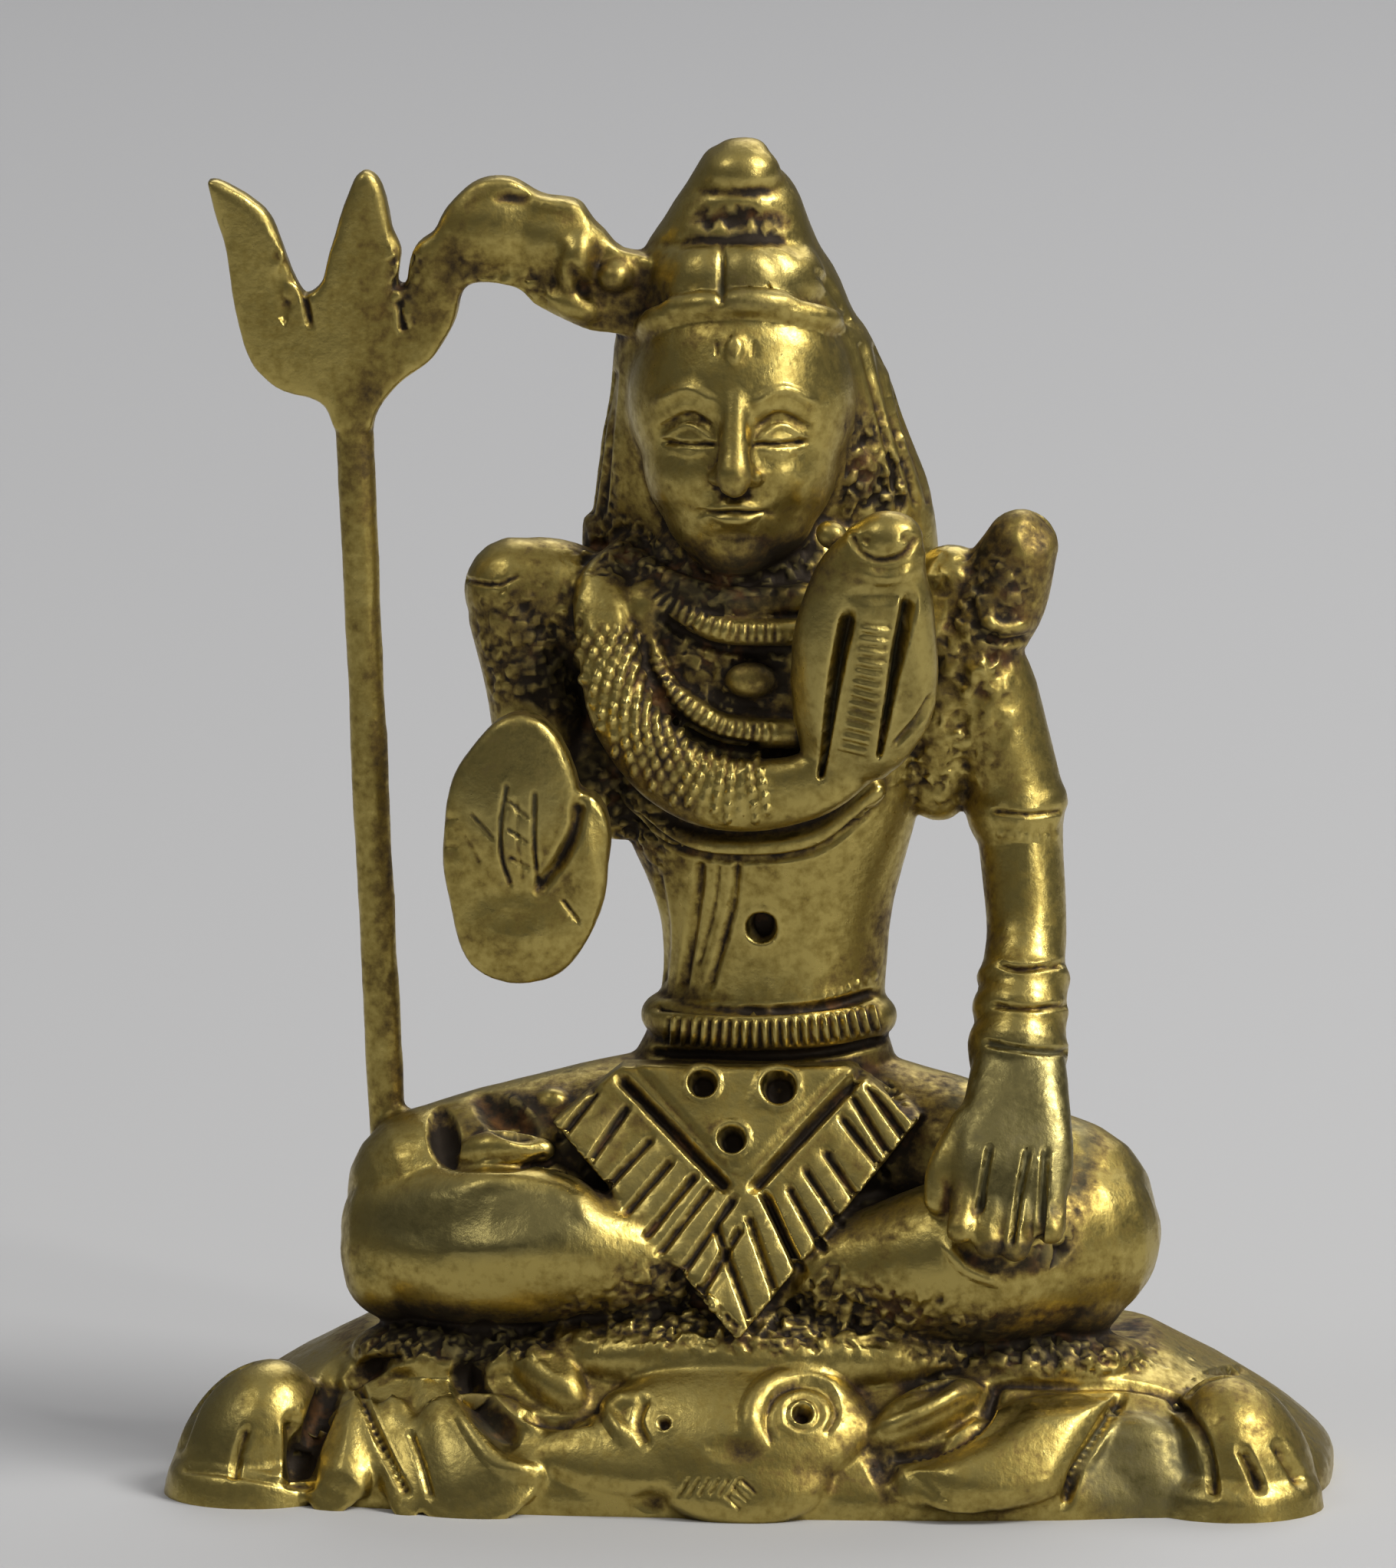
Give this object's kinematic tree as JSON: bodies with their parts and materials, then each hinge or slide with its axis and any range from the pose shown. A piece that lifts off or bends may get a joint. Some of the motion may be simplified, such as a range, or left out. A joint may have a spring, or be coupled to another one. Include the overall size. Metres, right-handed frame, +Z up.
{
  "type": "shiva figure",
  "caption": "Small cast brass figure of Shiva, seated cross-legged on a tiger skin, with a trident at the side, a cobra round the neck and a raised palm.",
  "frame": {"origin": "middle of the flat underside of the tiger skin", "axes": "+X to the viewer's right, +Y to the figure's back, +Z up"},
  "size_m": [0.0638, 0.031, 0.0738],
  "materials": {
    "brass": "cast and rubbed, dark in the hollows"
  },
  "bodies": {
    "root": {"shiva_figure": "brass"}
  },
  "joints": []
}
